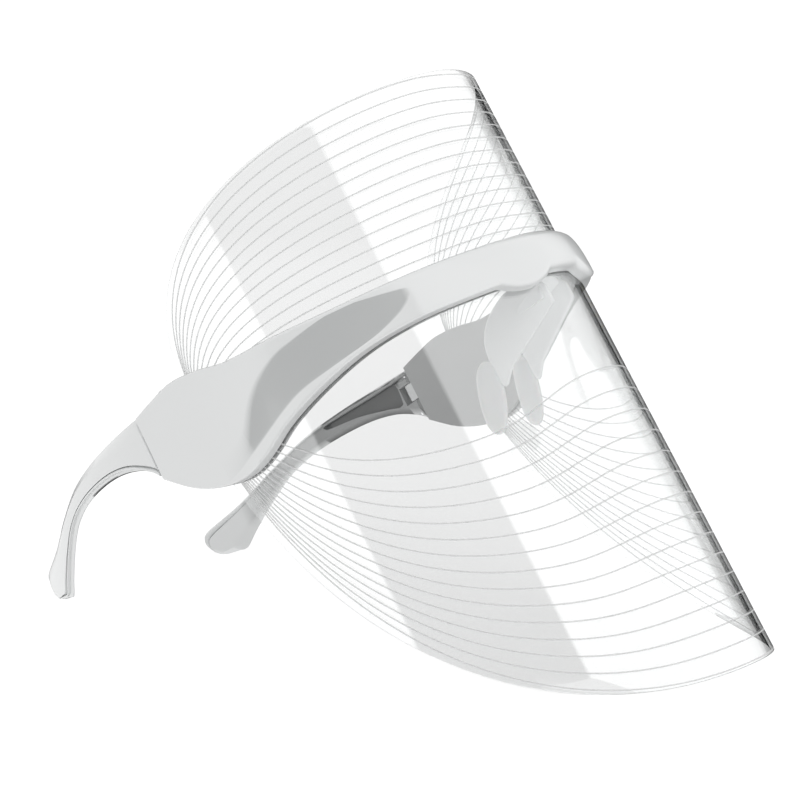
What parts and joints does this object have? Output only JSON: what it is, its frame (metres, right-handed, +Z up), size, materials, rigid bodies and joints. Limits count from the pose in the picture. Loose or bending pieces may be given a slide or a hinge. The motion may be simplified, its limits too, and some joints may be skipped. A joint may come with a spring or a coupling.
{
  "type": "light therapy face mask",
  "caption": "Clear split face shield with engraved light lines, held in a glossy brow frame with nose pads and folding ear arms, leaning forward as it stands on a table.",
  "frame": {"origin": "centre of the mask's footprint on the table: middle of its width and depth, at the level of the shield's lower edge and the ear tips", "axes": "+Z up, +X to the wearer's left, +Y towards the back of the wearer's head; the mask's front faces -Y and leans up by 32 degrees, as it rests on a table"},
  "size_m": [0.171, 0.2854, 0.2024],
  "materials": {
    "frame": "gloss",
    "inner_cover": "satin",
    "clear_sheet": "clear polished acrylic with engraved light lines",
    "arm": "gloss",
    "nose": "satin",
    "nose_pad": "soft satin silicone",
    "strip": "white solder mask",
    "lamp": "yellow phosphor",
    "steel": "satin",
    "socket_metal": "satin",
    "cell": "foil pouch",
    "board": "green solder mask",
    "chip": "matte black",
    "switch": "matte black",
    "button": "satin",
    "wire": "satin"
  },
  "bodies": {
    "frame": {"brow_frame": "frame", "brow_back_cover": "inner_cover", "left_housing_cover": "inner_cover", "right_housing_cover": "inner_cover", "upper_shield": "clear_sheet", "lower_shield": "clear_sheet", "upper_led_strip": "strip", "lower_led_strip": "strip", "upper_leds": "lamp", "lower_leds": "lamp", "nose_bridge": "nose", "left_nose_pad": "nose_pad", "right_nose_pad": "nose_pad", "battery": "cell", "charge_board": "board", "usb_socket": "socket_metal", "control_board": "board", "board_chips": "chip", "button_switch": "switch", "battery_lead": "wire", "left_cover_screws": "steel", "right_cover_screws": "steel", "brow_screws": "steel"},
    "left_arm": {"left_ear_arm": "arm", "left_hinge_pin": "steel"},
    "right_arm": {"right_ear_arm": "arm", "right_hinge_pin": "steel"},
    "button": {"power_button": "button"}
  },
  "joints": [
    {"name": "left_arm_fold", "type": "hinge", "parent": "frame", "child": "left_arm", "pos_m": [0.0794, 0.0556, 0.07196], "axis": [0, 0.5299, 0.848], "range_deg": [0, 88]},
    {"name": "right_arm_fold", "type": "hinge", "parent": "frame", "child": "right_arm", "pos_m": [-0.0794, 0.0556, 0.07196], "axis": [0, -0.5299, -0.848], "range_deg": [0, 74]},
    {"name": "power_button_press", "type": "slide", "parent": "frame", "child": "button", "axis": [0, -0.5299, -0.848], "range_m": [0, 0.0005], "stiffness_N_per_m": 1200}
  ]
}
